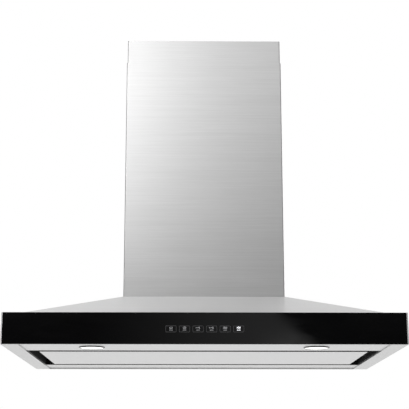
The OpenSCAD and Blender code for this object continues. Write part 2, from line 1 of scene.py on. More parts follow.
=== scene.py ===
# Looks for the island range hood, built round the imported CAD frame. Metres, +Z up, and the glass
# front faces -Y. Small pieces are drawn in millimetres round their own middle, and scaled by MM.

import json
import math

import bmesh
import bpy
from mathutils import Euler, Matrix, Vector

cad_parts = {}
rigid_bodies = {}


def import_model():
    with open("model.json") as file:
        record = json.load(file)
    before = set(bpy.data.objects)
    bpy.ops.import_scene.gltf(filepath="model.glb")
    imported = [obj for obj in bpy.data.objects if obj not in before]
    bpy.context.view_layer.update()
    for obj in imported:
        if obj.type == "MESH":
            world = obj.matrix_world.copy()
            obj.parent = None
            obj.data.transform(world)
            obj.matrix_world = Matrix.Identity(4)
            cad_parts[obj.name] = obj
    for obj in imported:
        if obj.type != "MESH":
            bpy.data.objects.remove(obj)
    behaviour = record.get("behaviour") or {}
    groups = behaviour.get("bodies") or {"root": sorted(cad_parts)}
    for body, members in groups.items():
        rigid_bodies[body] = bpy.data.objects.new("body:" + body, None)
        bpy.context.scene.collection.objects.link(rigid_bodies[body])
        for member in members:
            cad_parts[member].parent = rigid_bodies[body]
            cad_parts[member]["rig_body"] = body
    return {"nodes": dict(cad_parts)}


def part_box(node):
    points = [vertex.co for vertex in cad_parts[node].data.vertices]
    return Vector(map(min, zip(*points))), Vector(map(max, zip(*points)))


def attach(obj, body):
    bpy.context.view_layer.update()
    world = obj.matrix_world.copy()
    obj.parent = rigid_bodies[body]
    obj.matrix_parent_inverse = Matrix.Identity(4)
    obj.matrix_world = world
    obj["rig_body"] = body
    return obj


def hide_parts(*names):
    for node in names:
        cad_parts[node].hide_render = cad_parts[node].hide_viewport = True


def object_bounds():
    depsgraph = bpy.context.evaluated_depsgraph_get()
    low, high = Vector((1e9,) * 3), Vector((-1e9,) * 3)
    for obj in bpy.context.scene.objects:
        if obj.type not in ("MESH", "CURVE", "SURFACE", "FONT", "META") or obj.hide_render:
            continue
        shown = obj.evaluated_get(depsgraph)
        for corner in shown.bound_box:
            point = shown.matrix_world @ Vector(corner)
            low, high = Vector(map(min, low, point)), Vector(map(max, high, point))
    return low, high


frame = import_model()
CAD_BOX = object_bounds()
NODES = frame["nodes"]
MM = 0.001

FRONT_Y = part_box("glass_panel")[0].y
BOTTOM_Z = CAD_BOX[0].z
KEY_NODES = ["key_power", "key_timer", "key_speed_down", "key_speed_up", "key_filter", "key_light"]


def body_of(node):
    """Name of the CAD body that a node rides on."""
    return NODES[node]["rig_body"]


# ---------------------------------------------------------------- camera

SENSOR_MM = 36
LENS_MM = 97
SHIFT = (0.011, 0.02)
CLIP = (0.05, 200)
CAMERA_X = -0.034
CAMERA_BACK = 2.424
CAMERA_BELOW = 0.275
CAMERA_PITCH = 13.28
CAMERA_YAW = -0.55


def make_camera():
    """Photo's view: in front, below the hood and a little left of its middle, looking up."""
    data = bpy.data.cameras.new("camera")
    data.sensor_width = SENSOR_MM
    data.lens = LENS_MM
    data.shift_x, data.shift_y = SHIFT
    data.clip_start, data.clip_end = CLIP
    cam = bpy.data.objects.new("camera", data)
    bpy.context.scene.collection.objects.link(cam)
    cam.location = (CAMERA_X, FRONT_Y - CAMERA_BACK, BOTTOM_Z - CAMERA_BELOW)
    cam.rotation_euler = Euler((math.radians(90 + CAMERA_PITCH), 0, math.radians(CAMERA_YAW)))
    bpy.context.scene.camera = cam


# ---------------------------------------------------------------- node helpers

def put(tree, value, socket):
    """Links value to the socket if it is one itself, or else sets it there as a number."""
    if isinstance(value, bpy.types.NodeSocket):
        tree.links.new(value, socket)
    else:
        socket.default_value = value


def calc(tree, kind, *values):
    """Math node on sockets and numbers."""
    node = tree.nodes.new("ShaderNodeMath")
    node.operation = kind
    for value, socket in zip(values, node.inputs):
        put(tree, value, socket)
    return node.outputs[0]


def ranged(tree, value, over, gives):
    """Smooth step: as value crosses the span over, the result goes from gives[0] to gives[1]."""
    node = tree.nodes.new("ShaderNodeMapRange")
    node.interpolation_type = "SMOOTHSTEP"
    for limit, socket in zip((*over, *gives), node.inputs[1:5]):
        put(tree, limit, socket)
    tree.links.new(value, node.inputs["Value"])
    return node.outputs[0]


def split(tree, vector):
    """The X, Y and Z sockets of a vector."""
    node = tree.nodes.new("ShaderNodeSeparateXYZ")
    tree.links.new(vector, node.inputs[0])
    return node.outputs


def times(colour, factor):
    return tuple(c * factor for c in colour)


class Shader:
    """A small wrapper that keeps the building of a Principled material readable."""

    def __init__(self, name):
        self.mat = bpy.data.materials.new(name)
        self.mat.use_nodes = True
        self.tree = self.mat.node_tree
        self.tree.nodes.clear()
        self.out = self.tree.nodes.new("ShaderNodeOutputMaterial")
        self.bsdf = self.tree.nodes.new("ShaderNodeBsdfPrincipled")
        self.link(self.bsdf.outputs[0], self.out.inputs["Surface"])
        coords = self.tree.nodes.new("ShaderNodeTexCoord")
        self.place, self.normal = coords.outputs["Object"], coords.outputs["Normal"]

    def set(self, **values):
        """Sets uniform values straight on the shader's own sockets."""
        for key, value in values.items():
            self.bsdf.inputs[key.replace("_", " ")].default_value = value
        return self

    def link(self, a, b):
        self.tree.links.new(a, b)

    def stretched(self, x, y, z):
        """Object coordinates multiplied by a number along each axis."""
        node = self.tree.nodes.new("ShaderNodeMapping")
        node.inputs["Scale"].default_value = (x, y, z)
        self.link(self.place, node.inputs["Vector"])
        return node.outputs[0]

    def noise(self, vector=None, scale=1.0, detail=2.0, rough=0.5, distortion=0.0):
        """Noise over the given coordinates, or over the object's own."""
        node = self.tree.nodes.new("ShaderNodeTexNoise")
        node.inputs["Scale"].default_value = scale
        node.inputs["Detail"].default_value = detail
        node.inputs["Roughness"].default_value = rough
        node.inputs["Distortion"].default_value = distortion
        self.link(self.place if vector is None else vector, node.inputs["Vector"])
        return node.outputs["Fac"]

    def voronoi(self, scale, feature, output):
        node = self.tree.nodes.new("ShaderNodeTexVoronoi")
        node.feature = feature
        node.inputs["Scale"].default_value = scale
        self.link(self.place, node.inputs["Vector"])
        return node.outputs[output]

    def ramp(self, fac, low, high, span=(0.0, 1.0)):
        """Colour or grey that goes from low to high as fac crosses the span."""
        node = self.tree.nodes.new("ShaderNodeValToRGB")
        for stop, position, value in zip(node.color_ramp.elements, span, (low, high)):
            stop.position = position
            stop.color = self.rgba(value)
        self.link(fac, node.inputs[0])
        return node.outputs[0]

    def mix(self, fac, a, b):
        """Mixes two colours or greys by fac."""
        node = self.tree.nodes.new("ShaderNodeMix")
        node.data_type = "RGBA"
        for value, socket in ((fac, node.inputs[0]), (a, node.inputs[6]), (b, node.inputs[7])):
            if not isinstance(value, bpy.types.NodeSocket) and socket.type != "VALUE":
                value = self.rgba(value)
            put(self.tree, value, socket)
        return node.outputs[2]

    def bump(self, height, strength, distance):
        node = self.tree.nodes.new("ShaderNodeBump")
        node.inputs["Strength"].default_value = strength
        node.inputs["Distance"].default_value = distance
        self.link(height, node.inputs["Height"])
        self.link(node.outputs[0], self.bsdf.inputs["Normal"])

    def colour(self, socket):
        self.link(socket, self.bsdf.inputs["Base Color"])

    def roughness(self, socket):
        self.link(socket, self.bsdf.inputs["Roughness"])

    @staticmethod
    def rgba(value):
        if isinstance(value, (int, float)):
            return (value, value, value, 1)
        return (*value, 1)


# ---------------------------------------------------------------- materials
# A noise's scale is in cycles a metre. A ramp's span is the part of the noise that it uses.

SIDEWAYS = 0.12
GRAIN_CONTRAST = 0.045


def grain(s, along, across, detail):
    """Brushing that runs along X, and along Y on faces that look sideways."""
    along_x = s.noise(s.stretched(along, across, across), detail=detail, rough=0.6)
    along_y = s.noise(s.stretched(across, along, across), detail=detail, rough=0.6)
    sideways = calc(s.tree, "ABSOLUTE", split(s.tree, s.normal)[0])
    return s.mix(calc(s.tree, "GREATER_THAN", sideways, SIDEWAYS), along_x, along_y)


def brushed_steel(name, tint=0.612, rough=0.34):
    """Satin stainless sheet: long brush lines, faint cloudy rolling marks, handling smudges."""
    s = Shader(name)
    coarse = grain(s, along=5, across=380, detail=2)
    fine = grain(s, along=22, across=1500, detail=3)
    lines = s.mix(0.45, coarse, fine)
    clouds = s.noise(scale=5, detail=3)
    smudges = s.noise(s.stretched(1, 1, 0.6), scale=14, detail=4, rough=0.6, distortion=0.6)
    dark, light = tint * (1 - GRAIN_CONTRAST), tint * (1 + GRAIN_CONTRAST)
    lined = s.ramp(lines, dark, light, span=(0.36, 0.64))
    s.colour(s.mix(s.ramp(clouds, 0.0, 0.16, span=(0.35, 0.7)), lined, tint * 0.93))
    satin = s.ramp(lines, rough - 0.03, rough + 0.03, span=(0.35, 0.65))
    s.roughness(s.mix(s.ramp(smudges, 0.0, 0.3, span=(0.55, 0.8)), satin, rough + 0.07))
    s.bump(lines, strength=0.03, distance=0.0003)
    return s.set(Metallic=1.0).mat


def black_glass():
    """Back-painted glass with faint wiping marks and specks of dust."""
    s = Shader("black_glass")
    wipes = s.noise(s.stretched(3, 3, 14), scale=3, detail=4, distortion=1.2)
    specks = s.noise(scale=700, detail=2)
    s.colour(s.ramp(wipes, (0.0006, 0.0006, 0.0008), (0.0014, 0.0014, 0.0016), span=(0.3, 0.8)))
    s.roughness(s.ramp(wipes, 0.03, 0.09, span=(0.45, 0.8)))
    s.bump(specks, strength=0.01, distance=0.00005)
    return s.set(IOR=1.5).mat


def key_plastic():
    """Gloss black key cap, slightly lighter than the glass, with fine moulding texture."""
    s = Shader("key_plastic")
    grit = s.noise(scale=2400, detail=2)
    wear = s.noise(scale=90, detail=3)
    s.colour(s.ramp(wear, (0.0012, 0.0012, 0.0015), (0.0025, 0.0025, 0.003), span=(0.3, 0.8)))
    s.roughness(s.ramp(wear, 0.06, 0.13, span=(0.3, 0.75)))
    s.bump(grit, strength=0.05, distance=0.0001)
    return s.mat


def symbol_ink(name, colour, glow):
    """Printed symbol with a little light from behind."""
    s = Shader(name)
    dots = s.noise(scale=900, detail=1)
    s.colour(s.ramp(dots, times(colour, 0.85), colour, span=(0.3, 0.7)))
    s.roughness(s.ramp(dots, 0.4, 0.6))
    return s.set(Emission_Color=(*colour, 1), Emission_Strength=glow).mat


def zinc_plate():
    """Galvanised sheet with crystal spangle."""
    tint, dull = (0.50, 0.52, 0.55), (0.40, 0.40, 0.41)
    s = Shader("zinc_plate")
    spangle = split(s.tree, s.voronoi(115, "F1", "Color"))[0]
    dust = s.noise(scale=30, detail=4)
    flake = s.ramp(spangle, times(tint, 0.88), times(tint, 1.07))
    s.colour(s.mix(s.ramp(dust, 0.0, 0.3, span=(0.5, 0.8)), flake, dull))
    s.roughness(s.ramp(spangle, 0.36, 0.56))
    s.bump(dust, strength=0.08, distance=0.0005)
    return s.set(Metallic=1.0).mat


def powder_coat(name, colour):
    """Matt powder coat with orange-peel bump and a few rubbed spots."""
    s = Shader(name)
    peel = s.noise(scale=420, detail=2)
    rub = s.noise(scale=22, detail=5, rough=0.65)
    rubbed = tuple(c * 1.9 + 0.004 for c in colour)
    s.colour(s.ramp(rub, colour, rubbed, span=(0.55, 0.85)))
    s.roughness(s.ramp(rub, 0.62, 0.42, span=(0.45, 0.8)))
    s.bump(peel, strength=0.25, distance=0.0003)
    return s.set(Specular_IOR_Level=0.12).mat


def moulded_plastic(name, colour):
    """Half-matt plastic with uneven tone and fine grit."""
    s = Shader(name)
    grit = s.noise(scale=1300, detail=2)
    tone = s.noise(scale=18, detail=3)
    s.colour(s.ramp(tone, times(colour, 0.88), times(colour, 1.1), span=(0.3, 0.7)))
    s.roughness(s.ramp(tone, 0.42, 0.6, span=(0.3, 0.7)))
    s.bump(grit, strength=0.2, distance=0.0002)
    return s.mat


def aluminium(name="aluminium", tint=(0.72, 0.72, 0.73), rough=0.38):
    """Mill-finish aluminium with rolling lines and light scuffs."""
    s = Shader(name)
    rolled = s.noise(s.stretched(8, 700, 700), detail=2)
    scuffs = s.noise(scale=45, detail=5, rough=0.7)
    metal = s.ramp(rolled, times(tint, 0.9), times(tint, 1.05), span=(0.35, 0.65))
    s.colour(s.mix(s.ramp(scuffs, 0.0, 0.35, span=(0.55, 0.8)), metal, times(tint, 0.8)))
    s.roughness(s.ramp(scuffs, rough - 0.06, rough + 0.14, span=(0.35, 0.75)))
    s.bump(rolled, strength=0.06, distance=0.0003)
    return s.set(Metallic=1.0).mat


def turned_steel(name="turned_steel", painted_shade_grey=None):
    """Bright steel with fine polishing marks. The optional grey after the name is painted shade:
    it darkens the base colour of upright faces, standing in for the shade on the walls of a
    recess.
    """
    tint = (0.68, 0.68, 0.68)
    s = Shader(name)
    marks = s.noise(s.stretched(900, 900, 40), detail=3)
    stain = s.noise(scale=60, detail=3)
    polished = s.ramp(marks, times(tint, 0.92), times(tint, 1.05), span=(0.35, 0.65))
    # Painted shade: upright faces get the darker grey as their base colour.
    if painted_shade_grey is not None:
        facing = calc(s.tree, "ABSOLUTE", split(s.tree, s.normal)[2])
        upright = s.ramp(marks, painted_shade_grey * 0.8, painted_shade_grey, span=(0.35, 0.65))
        polished = s.mix(s.ramp(facing, 0.0, 1.0, span=(0.55, 0.9)), upright, polished)
    s.colour(polished)
    s.roughness(s.ramp(stain, 0.18, 0.32, span=(0.3, 0.75)))
    s.bump(marks, strength=0.05, distance=0.0002)
    return s.set(Metallic=1.0).mat


def lamp_glass():
    """Frosted lens, lit from behind."""
    s = Shader("lamp_glass")
    frost = s.noise(scale=1800, detail=2)
    s.colour(s.ramp(frost, (0.86, 0.86, 0.84), (0.95, 0.95, 0.93), span=(0.3, 0.7)))
    s.roughness(s.ramp(frost, 0.35, 0.5))
    s.bump(frost, strength=0.15, distance=0.0002)
    return s.set(Emission_Color=(1.0, 0.985, 0.95, 1), Emission_Strength=0.9).mat


def circuit_board():
    """Green solder mask with lighter copper tracks showing through."""
    s = Shader("circuit_board")
    tracks = s.voronoi(420, "DISTANCE_TO_EDGE", "Distance")
    s.colour(s.ramp(tracks, (0.06, 0.20, 0.08), (0.015, 0.09, 0.03), span=(0.02, 0.10)))
    s.roughness(s.ramp(tracks, 0.32, 0.5))
    s.bump(tracks, strength=0.2, distance=0.0001)
    return s.mat


STEEL = brushed_steel("stainless")
# Painted light: the canopy gets a lighter copy of the same stainless.
CANOPY_STEEL_PAINTED_LIGHT = brushed_steel("stainless_canopy_painted_light", tint=0.66, rough=0.42)
# Painted shade: the side rails get a darker copy of the same stainless.
RAIL_STEEL_PAINTED_SHADE = brushed_steel("stainless_rail_painted_shade", tint=0.565)
ZINC = zinc_plate()
# Black powder coat of the liner and power box; the same black is also the painted shade of the
# band round the panel's fold.
BLACK_COAT_AND_PAINTED_SHADE = powder_coat("black_powder_coat_and_painted_shade", (0.0035, 0.0035, 0.004))
ALU = aluminium()


# ---------------------------------------------------------------- mesh helpers

WELD = 0.02 * MM
FLAT_DEGREES = 1.0
EDGE_DEGREES = 40
SKIN_SMOOTH = 30
NORMAL_WEIGHT = 100
LATHE_SEGMENTS = 64


def add_object(name, mesh, mat):
    obj = bpy.data.objects.new(name, mesh)
    bpy.context.scene.collection.objects.link(obj)
    mesh.materials.clear()
    mesh.materials.append(mat)
    return obj


def shade(obj, degrees):
    """Smooth shading, with edges sharper than this angle kept sharp."""
    bm = bmesh.new()
    bm.from_mesh(obj.data)
    for face in bm.faces:
        face.smooth = True
    for edge in bm.edges:
        edge.smooth = len(edge.link_faces) == 2 and edge.calc_face_angle(0) < math.radians(degrees)
    bm.to_mesh(obj.data)
    bm.free()


def apply_modifiers(obj):
    """Replaces the object's mesh by its evaluated one."""
    graph = bpy.context.evaluated_depsgraph_get()
    mesh = bpy.data.meshes.new_from_object(obj.evaluated_get(graph))
    obj.modifiers.clear()
    old = obj.data
    obj.data = mesh
    bpy.data.meshes.remove(old)


def softened(node, mat, width, segments=2):
    """A copy of a CAD node whose folded and cut edges are rounded; it stands for that node.
    The rounded edges blend into the flat faces without bending the light on those."""
    bm = bmesh.new()
    bm.from_mesh(NODES[node].data)
    bmesh.ops.remove_doubles(bm, verts=bm.verts, dist=WELD)
    flat = math.radians(FLAT_DEGREES)
    bmesh.ops.dissolve_limit(bm, angle_limit=flat, verts=bm.verts, edges=bm.edges)
    mesh = bpy.data.meshes.new(node + "_skin")
    bm.to_mesh(mesh)
    bm.free()
    obj = add_object(mesh.name, mesh, mat)
    bevel = obj.modifiers.new("edges", "BEVEL")
    bevel.width = width
    bevel.segments = segments
    bevel.limit_method = "ANGLE"
    bevel.angle_limit = math.radians(EDGE_DEGREES)
    bevel.use_clamp_overlap = True
    shade(obj, SKIN_SMOOTH)
    weighted = obj.modifiers.new("normals", "WEIGHTED_NORMAL")
    weighted.keep_sharp = True
    weighted.weight = NORMAL_WEIGHT
    apply_modifiers(obj)
    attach(obj, body_of(node))
    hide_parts(node)


def from_bmesh(name, bm, mat, body, replaces=(), smooth=35):
    """Makes a piece that rides on a body, from a finished bmesh in the row frame."""
    mesh = bpy.data.meshes.new(name)
    bm.to_mesh(mesh)
    bm.free()
    obj = add_object(name, mesh, mat)
    shade(obj, smooth)
    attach(obj, body)
    if replaces:
        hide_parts(*replaces)


def arc(cx, cz, radius, start, end, steps=24):
    """Points on a circle from one angle to another, in degrees."""
    turn = [math.radians(start + (end - start) * i / steps) for i in range(steps + 1)]
    return [(cx + radius * math.cos(a), cz + radius * math.sin(a)) for a in turn]


def rounded_outline(width, height, radius):
    """Points round a rectangle with round corners, centred on zero."""
    w, h = width / 2 - radius, height / 2 - radius
    corners = ((w, h, 0), (-w, h, 90), (-w, -h, 180), (w, -h, 270))
    return [p for cx, cz, start in corners for p in arc(cx, cz, radius, start, start + 90, 6)]


def ribbon(bm, points, width, depth, closed=False):
    """Raised stroke of even width along points in the XZ plane; its face is at y = -depth."""
    flat = [Vector((x, z)) for x, z in points]
    count = len(flat)
    rows = []
    for i, here in enumerate(flat):
        before = flat[i - 1] if closed or i else here
        after = flat[(i + 1) % count] if closed or i < count - 1 else here
        along = (after - before).normalized()
        side = Vector((-along.y, along.x)) * width / 2
        edges = (here - side, here + side)
        rows.append([bm.verts.new((edge.x, y, edge.y)) for edge in edges for y in (0, -depth)])
    last = count if closed else count - 1
    for i in range(last):
        a, b = rows[i], rows[(i + 1) % count]
        for k, m in ((0, 1), (1, 3), (3, 2), (2, 0)):
            bm.faces.new((a[k], a[m], b[m], b[k]))
    if not closed:
        for row in (rows[0], rows[-1]):
            bm.faces.new((row[0], row[1], row[3], row[2]))


def flat_ribbon(bm, points, width, z, thick):
    """Strand that lies flat in the XY plane, from height z up."""
    corners = [(dy, dz) for dy in (-width / 2, width / 2) for dz in (0, thick)]
    rows = [[bm.verts.new((x, y + dy, z + dz)) for dy, dz in corners] for x, y in points]
    for a, b in zip(rows, rows[1:]):
        for k, m in ((0, 1), (1, 3), (3, 2), (2, 0)):
            bm.faces.new((a[k], b[k], b[m], a[m]))
    for row in (rows[0], rows[-1]):
        bm.faces.new((row[0], row[1], row[3], row[2]))


def ring_at(bm, radius, z):
    """Ring of points about Z, or a single point where the radius is zero."""
    if radius == 0:
        return [bm.verts.new((0, 0, z))]
    turn = [2 * math.pi * i / LATHE_SEGMENTS for i in range(LATHE_SEGMENTS)]
    return [bm.verts.new((radius * math.cos(a), radius * math.sin(a), z)) for a in turn]


def lathe(bm, profile):
    """Turns (radius, height) points about Z; a zero radius closes the form with a point."""
    rings = [ring_at(bm, radius, z) for radius, z in profile]
    for a, b in zip(rings, rings[1:]):
        for i in range(LATHE_SEGMENTS):
            k = (i + 1) % LATHE_SEGMENTS
            quad = [a[i % len(a)], a[k % len(a)], b[k % len(b)], b[i % len(b)]]
            bm.faces.new(list(dict.fromkeys(quad)))
    bmesh.ops.recalc_face_normals(bm, faces=bm.faces)


# ---------------------------------------------------------------- sheet metal and glass

FLUE_EDGE = 0.3 * MM
SHEET_EDGE = 0.4 * MM
FILTER_EDGE = 0.6 * MM
GLASS_EDGE = 0.6 * MM
SCREW_EDGE = 0.8 * MM
PANEL_BEND_MM = 2.5
BAND_LOW_MM, BAND_HIGH_MM = 0.1, 0.5
BAND_FACES_MM = (0.02, 0.22)


def dress_sheet_metal():
    """Visible sheet, glass, filter frames, latches and screw heads get rounded edges."""
    for node in ("lower_flue_front", "lower_flue_rear", "upper_flue_front", "upper_flue_rear"):
        softened(node, STEEL, FLUE_EDGE)
    for node in ("front_strip", "rear_strip", "panel_skin"):
        softened(node, STEEL, SHEET_EDGE)
    for node in ("side_rail_left", "side_rail_right"):
        softened(node, RAIL_STEEL_PAINTED_SHADE, SHEET_EDGE)
    softened("canopy_shell", CANOPY_STEEL_PAINTED_LIGHT, SHEET_EDGE)
    for node in ("upper_flue_screws", "lower_flue_screws"):
        softened(node, ZINC, SCREW_EDGE, segments=4)
    for part in ("filter_frame_", "filter_latch_"):
        for side in ("left", "right"):
            softened(part + side, ALU, FILTER_EDGE)
    softened("glass_panel", black_glass(), GLASS_EDGE)


def paint_panel_gap_shade():
    """Painted shade: a thin black band round the panel's upright fold, with the bottom bend left
    bright, stands in for the shade in the gap between the panel and the strips.
    """
    lo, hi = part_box("panel_skin")
    mid = (lo + hi) / 2
    width, depth = (hi.x - lo.x) / MM, (hi.y - lo.y) / MM
    bm = bmesh.new()
    rings = []
    for z in (lo.z + BAND_LOW_MM * MM, hi.z + BAND_HIGH_MM * MM):
        for grow in BAND_FACES_MM:
            outline = rounded_outline(width + 2 * grow, depth + 2 * grow, PANEL_BEND_MM + grow)
            rings.append([bm.verts.new((mid.x + x * MM, mid.y + y * MM, z)) for x, y in outline])
    low_in, low_out, high_in, high_out = rings
    count = len(low_in)
    for a, b in ((low_in, low_out), (low_out, high_out), (high_out, high_in), (high_in, low_in)):
        for i in range(count):
            k = (i + 1) % count
            bm.faces.new((a[i], a[k], b[k], b[i]))
    bmesh.ops.recalc_face_normals(bm, faces=bm.faces)
    # The black band is painted shade for the gap round the panel.
    from_bmesh("panel_edge_painted_shade_band", bm, BLACK_COAT_AND_PAINTED_SHADE, body_of("panel_skin"))


# ---------------------------------------------------------------- keys
# Millimetres on the face of a key cap, from its middle: X to the right, Z up.

CAP_EDGE = 0.4 * MM
CAP_FLANGE = 1
BORDER_INSET = 1.7
BORDER_RADIUS = 1.9
BORDER_STROKE = 0.6
BORDER_RAISED = 0.03
INK_RAISED = 0.04
ICON_Z = 2.6
ICON_STRETCH = (1.3, 0.8)
ICON_STROKE = 0.75
FAN_X = 1.4
BLADE_R = 1.3
BULB_Z = 0.4
MARK_Z = -2.5
MARK_MIDDLES = (-2.7, 0, 2.7)
MARK_HALF = 1
MARK_STROKE = 1.1


def fan_icon():
    """Three curved blades round a middle point."""
    blades = []
    for turn in (90, 210, 330):
        a = math.radians(turn)
        middle = (FAN_X + BLADE_R * math.cos(a), BLADE_R * math.sin(a))
        blades.append((arc(*middle, BLADE_R, turn - 180, turn - 10, 8), False))
    return blades


def icon_strokes(kind):
    """Generic symbols round the middle of the icon: lists of (points, closed)."""
    dash = ([(-4.6, 0), (-1.7, 0)], False)
    if kind == "key_power":
        return [(arc(0, -0.2, 2.4, 125, 415), False), ([(0, 0.2), (0, 2.9)], False)]
    if kind == "key_timer":
        return [(arc(0, 0, 2.5, 0, 345), True), ([(0, 1.7), (0, 0), (1.3, 0)], False)]
    if kind == "key_speed_down":
        return [dash] + fan_icon()
    if kind == "key_speed_up":
        return [dash, ([(-3.15, -1.5), (-3.15, 1.5)], False)] + fan_icon()
    if kind == "key_filter":
        return [([(-3.2, z), (-1.1, z + 0.5), (1.1, z - 0.5), (3.2, z)], False)
                for z in (-1.9, 0, 1.9)]
    bulb = [(arc(0, BULB_Z, 1.7, -50, 230), False), ([(-1.0, -1.9), (1.0, -1.9)], False)]
    for degrees in (-15, 38, 90, 142, 195):
        x, z = math.cos(math.radians(degrees)), math.sin(math.radians(degrees))
        bulb.append(([(x * 2.5, BULB_Z + z * 2.3), (x * 3.6, BULB_Z + z * 3.0)], False))
    return bulb


def dress_keys():
    """Rounded key caps with a printed border, an icon and a row of status marks."""
    plastic = key_plastic()
    grey = symbol_ink("symbol_ink", (0.34, 0.34, 0.35), 0.42)
    lit = symbol_ink("symbol_ink_lit", (0.95, 0.96, 1.0), 1.5)
    border = symbol_ink("border_ink", (0.06, 0.06, 0.062), 0.38)
    for node in KEY_NODES:
        softened(node, plastic, CAP_EDGE)
        lo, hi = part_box(node)
        width, height = (hi.x - lo.x) / MM - 2 * CAP_FLANGE, (hi.z - lo.z) / MM - 2 * CAP_FLANGE
        middle = Matrix.Translation(((lo.x + hi.x) / 2, lo.y, (lo.z + hi.z) / 2))
        place = middle @ Matrix.Scale(MM, 4)
        outline = rounded_outline(width - BORDER_INSET, height - BORDER_INSET, BORDER_RADIUS)
        bm = bmesh.new()
        ribbon(bm, outline, BORDER_STROKE, BORDER_RAISED, closed=True)
        bm.transform(place)
        from_bmesh(node + "_border", bm, border, body_of(node))
        bm = bmesh.new()
        for points, closed in icon_strokes(node):
            wide = [(x * ICON_STRETCH[0], z * ICON_STRETCH[1] + ICON_Z) for x, z in points]
            ribbon(bm, wide, ICON_STROKE, INK_RAISED, closed)
        for x in MARK_MIDDLES:
            mark = [(x - MARK_HALF, MARK_Z), (x + MARK_HALF, MARK_Z)]
            ribbon(bm, mark, MARK_STROKE, INK_RAISED)
        bmesh.ops.recalc_face_normals(bm, faces=bm.faces)
        bm.transform(place)
        ink = lit if node == "key_light" else grey
        from_bmesh(node + "_symbol", bm, ink, body_of(node))


# ---------------------------------------------------------------- lamps
# Millimetres. A roll is (distance from the bore or back from the rim, height over the bezel's
# lowest point).

LENS_GAP = 0.1
BORE_ROLL = ((0, 0.9), (0.5, 0.25), (1.1, 0))
RIM_ROLL = ((1.0, 0), (0.35, 0.2), (0, 0.8))
BEZEL_FLANGE = 2.5
TUBE_WALL = 1.8
BEZEL_WELD = 1e-4
DOME_RISE = 1.2
DOME_STEP = 9


def dress_lamps():
    """Turned bezel with a rolled rim, and a frosted lens with a shallow dome."""
    # The bezel's upright walls get painted shade: a dark grey base colour.
    steel, glass = turned_steel("bezel_steel", painted_shade_grey=0.10), lamp_glass()
    for side in ("left", "right"):
        bezel, lens = "lamp_bezel_" + side, "lamp_lens_" + side
        lo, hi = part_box("lamp_bezel_" + side)
        lens_lo, lens_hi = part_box("lamp_lens_" + side)
        middle = Matrix.Translation(((lo.x + hi.x) / 2, (lo.y + hi.y) / 2, lo.z))
        place = middle @ Matrix.Scale(MM, 4)
        outer, bore = (hi.x - lo.x) / 2 / MM, (lens_hi.x - lens_lo.x) / 2 / MM + LENS_GAP
        tube, top = bore + TUBE_WALL, (hi.z - lo.z) / MM
        profile = [(bore + out, z) for out, z in BORE_ROLL]
        profile += [(outer - back, z) for back, z in RIM_ROLL]
        profile += [(outer, BEZEL_FLANGE), (tube, BEZEL_FLANGE), (tube, top), (bore, top)]
        bm = bmesh.new()
        lathe(bm, profile + profile[:1])
        bmesh.ops.remove_doubles(bm, verts=bm.verts, dist=BEZEL_WELD)
        bm.transform(place)
        from_bmesh(bezel + "_turned", bm, steel, body_of(bezel), (bezel,), 50)
        low, high, lens_r = (lens_lo.z - lo.z) / MM, (lens_hi.z - lo.z) / MM, bore - LENS_GAP
        angles = [math.radians(a) for a in range(0, 91, DOME_STEP)]
        dome = [(lens_r * math.sin(a), low + DOME_RISE * (1 - math.cos(a))) for a in angles]
        bm = bmesh.new()
        lathe(bm, dome + [(lens_r, high), (0, high)])
        bm.transform(place)
        from_bmesh(lens + "_frosted", bm, glass, body_of(lens), (lens,), 60)


# ---------------------------------------------------------------- filters

DIAMOND_MM = (12.0, 5.0)
STRAND = 0.9 * MM
STRAND_SHEET = 0.6 * MM
LOWER_LAYER = 0.6 * MM
UPPER_LAYER = 1.2 * MM
LATCH_MARGIN = 5 * MM
LATCH_ROOM = 12 * MM


def outside_runs(points, lo, hi):
    """Splits a strand into the runs of points that stay outside the box from lo to hi."""
    runs, run = [], []
    for x, y in points:
        if lo[0] < x < hi[0] and lo[1] < y < hi[1]:
            runs.append(run)
            run = []
        else:
            run.append((x, y))
    return [one for one in runs + [run] if len(one) > 1]


def dress_filters():
    """Expanded-metal lattice in two crossed layers as each filter's core, with a notch that
    leaves room for the latch to slide."""
    mesh_alu = aluminium("filter_mesh", (0.68, 0.68, 0.69), 0.42)
    for side in ("left", "right"):
        node = "filter_mesh_" + side
        lo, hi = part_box(node)
        latch_lo, latch_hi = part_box("filter_latch_" + side)
        notch_lo = (latch_lo.x - LATCH_MARGIN, latch_lo.y)
        notch_hi = (latch_hi.x + LATCH_MARGIN, latch_hi.y + LATCH_ROOM)
        columns = round((hi.x - lo.x) / MM / DIAMOND_MM[0] * 2)
        rows = round((hi.y - lo.y) / MM / DIAMOND_MM[1])
        step, rise = (hi.x - lo.x) / columns, (hi.y - lo.y) / rows
        reach = (rise - STRAND) / 2
        bm = bmesh.new()
        for layer, shift in ((lo.z + LOWER_LAYER, 0), (hi.z - UPPER_LAYER, 1)):
            for row in range(rows):
                middle = lo.y + (row + 0.5) * rise
                zigzag = [(lo.x + col * step, middle + reach * (-1, 1)[(col + row + shift) % 2])
                          for col in range(columns + 1)]
                for run in outside_runs(zigzag, notch_lo, notch_hi):
                    flat_ribbon(bm, run, STRAND, layer, STRAND_SHEET)
        from_bmesh(node + "_lattice", bm, mesh_alu, body_of(node), (node,), 20)


# ---------------------------------------------------------------- CAD nodes that keep their shape

def paint(nodes, mat):
    for node in nodes:
        mesh = NODES[node].data
        mesh.materials.clear()
        mesh.materials.append(mat)


